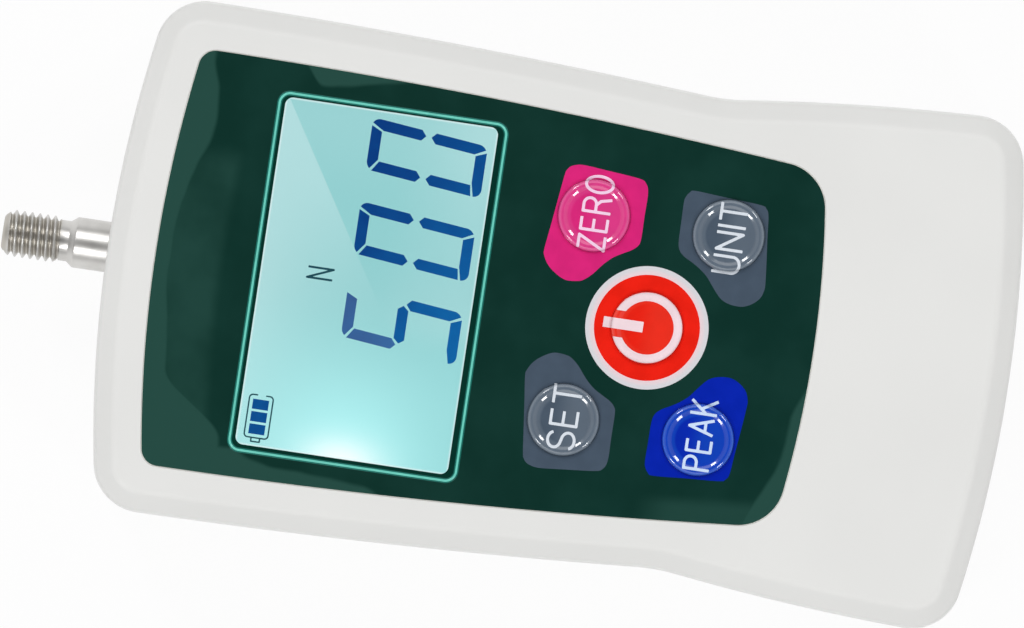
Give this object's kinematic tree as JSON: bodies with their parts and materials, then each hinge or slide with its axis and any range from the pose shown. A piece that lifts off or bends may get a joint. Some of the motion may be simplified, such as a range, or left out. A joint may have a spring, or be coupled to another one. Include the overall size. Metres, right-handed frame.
{
  "type": "digital force gauge",
  "caption": "Hand-held digital force gauge: waisted two-shell housing with display, dome keys and a threaded measuring stud on a load cell.",
  "frame": {"origin": "on the back face, under the middle of the whole length and width", "axes": "+X across the display to its right with the stud up, +Y along the measuring axis towards the stud, +Z out of the display face"},
  "size_m": [0.066, 0.1298, 0.0366],
  "materials": {
    "housing": "fine satin moulding",
    "overlay": "glossy printed film",
    "window": "clear, polished",
    "display": "backlit",
    "light_guide": "milky",
    "frame_plastic": "moulded",
    "elastomer": "layered",
    "circuit_board": "solder mask",
    "steel": "bright",
    "black_steel": "black oxide",
    "chip": "moulded epoxy",
    "aluminium": "milled",
    "foil": "etched foil on film",
    "stud_steel": "turned, bright",
    "cell_wrap": "shrink wrap",
    "sensor_wire": "wire insulation",
    "battery_wire": "wire insulation",
    "key_pink": "embossed film",
    "key_grey": "embossed film",
    "key_blue": "embossed film",
    "key_red": "embossed film",
    "plunger": "moulded"
  },
  "bodies": {
    "housing": {"front_shell": "housing", "rear_shell": "housing", "case_screws": "black_steel", "keypad_overlay": "overlay", "window_lens": "window", "lcd_panel": "display", "lcd_backlight": "light_guide", "lcd_frame": "frame_plastic", "zebra_strips": "elastomer", "main_pcb": "circuit_board", "pcb_screws": "steel", "board_chips": "chip", "tact_switches": "frame_plastic", "buzzer": "chip", "charging_socket": "steel", "chassis_plate": "aluminium", "chassis_screws": "black_steel", "load_cell": "aluminium", "load_cell_screws": "black_steel", "strain_gauges": "foil", "battery_tray": "frame_plastic", "battery_cells": "cell_wrap", "battery_contacts": "steel", "lead_plugs": "plunger", "sensor_leads": "sensor_wire", "battery_leads": "battery_wire"},
    "rod": {"sensing_rod": "stud_steel"},
    "zero_key": {"key_zero": "key_pink", "plunger_zero": "plunger"},
    "set_key": {"key_set": "key_grey", "plunger_set": "plunger"},
    "unit_key": {"key_unit": "key_grey", "plunger_unit": "plunger"},
    "peak_key": {"key_peak": "key_blue", "plunger_peak": "plunger"},
    "power_key": {"key_power": "key_red", "plunger_power": "plunger"}
  },
  "joints": [
    {"name": "rod_load", "type": "slide", "parent": "housing", "child": "rod", "axis": [0, 1, 0], "range_m": [-0.00025, 0.00025], "stiffness_N_per_m": 2000, "deforming": ["load_cell"]},
    {"name": "zero_press", "type": "slide", "parent": "housing", "child": "zero_key", "axis": [0, 0, -1], "range_m": [0, 0.0004], "stiffness_N_per_m": 400},
    {"name": "set_press", "type": "slide", "parent": "housing", "child": "set_key", "axis": [0, 0, -1], "range_m": [0, 0.0004], "stiffness_N_per_m": 400},
    {"name": "unit_press", "type": "slide", "parent": "housing", "child": "unit_key", "axis": [0, 0, -1], "range_m": [0, 0.0004], "stiffness_N_per_m": 400},
    {"name": "peak_press", "type": "slide", "parent": "housing", "child": "peak_key", "axis": [0, 0, -1], "range_m": [0, 0.0004], "stiffness_N_per_m": 400},
    {"name": "power_press", "type": "slide", "parent": "housing", "child": "power_key", "axis": [0, 0, -1], "range_m": [0, 0.0004], "stiffness_N_per_m": 400}
  ]
}
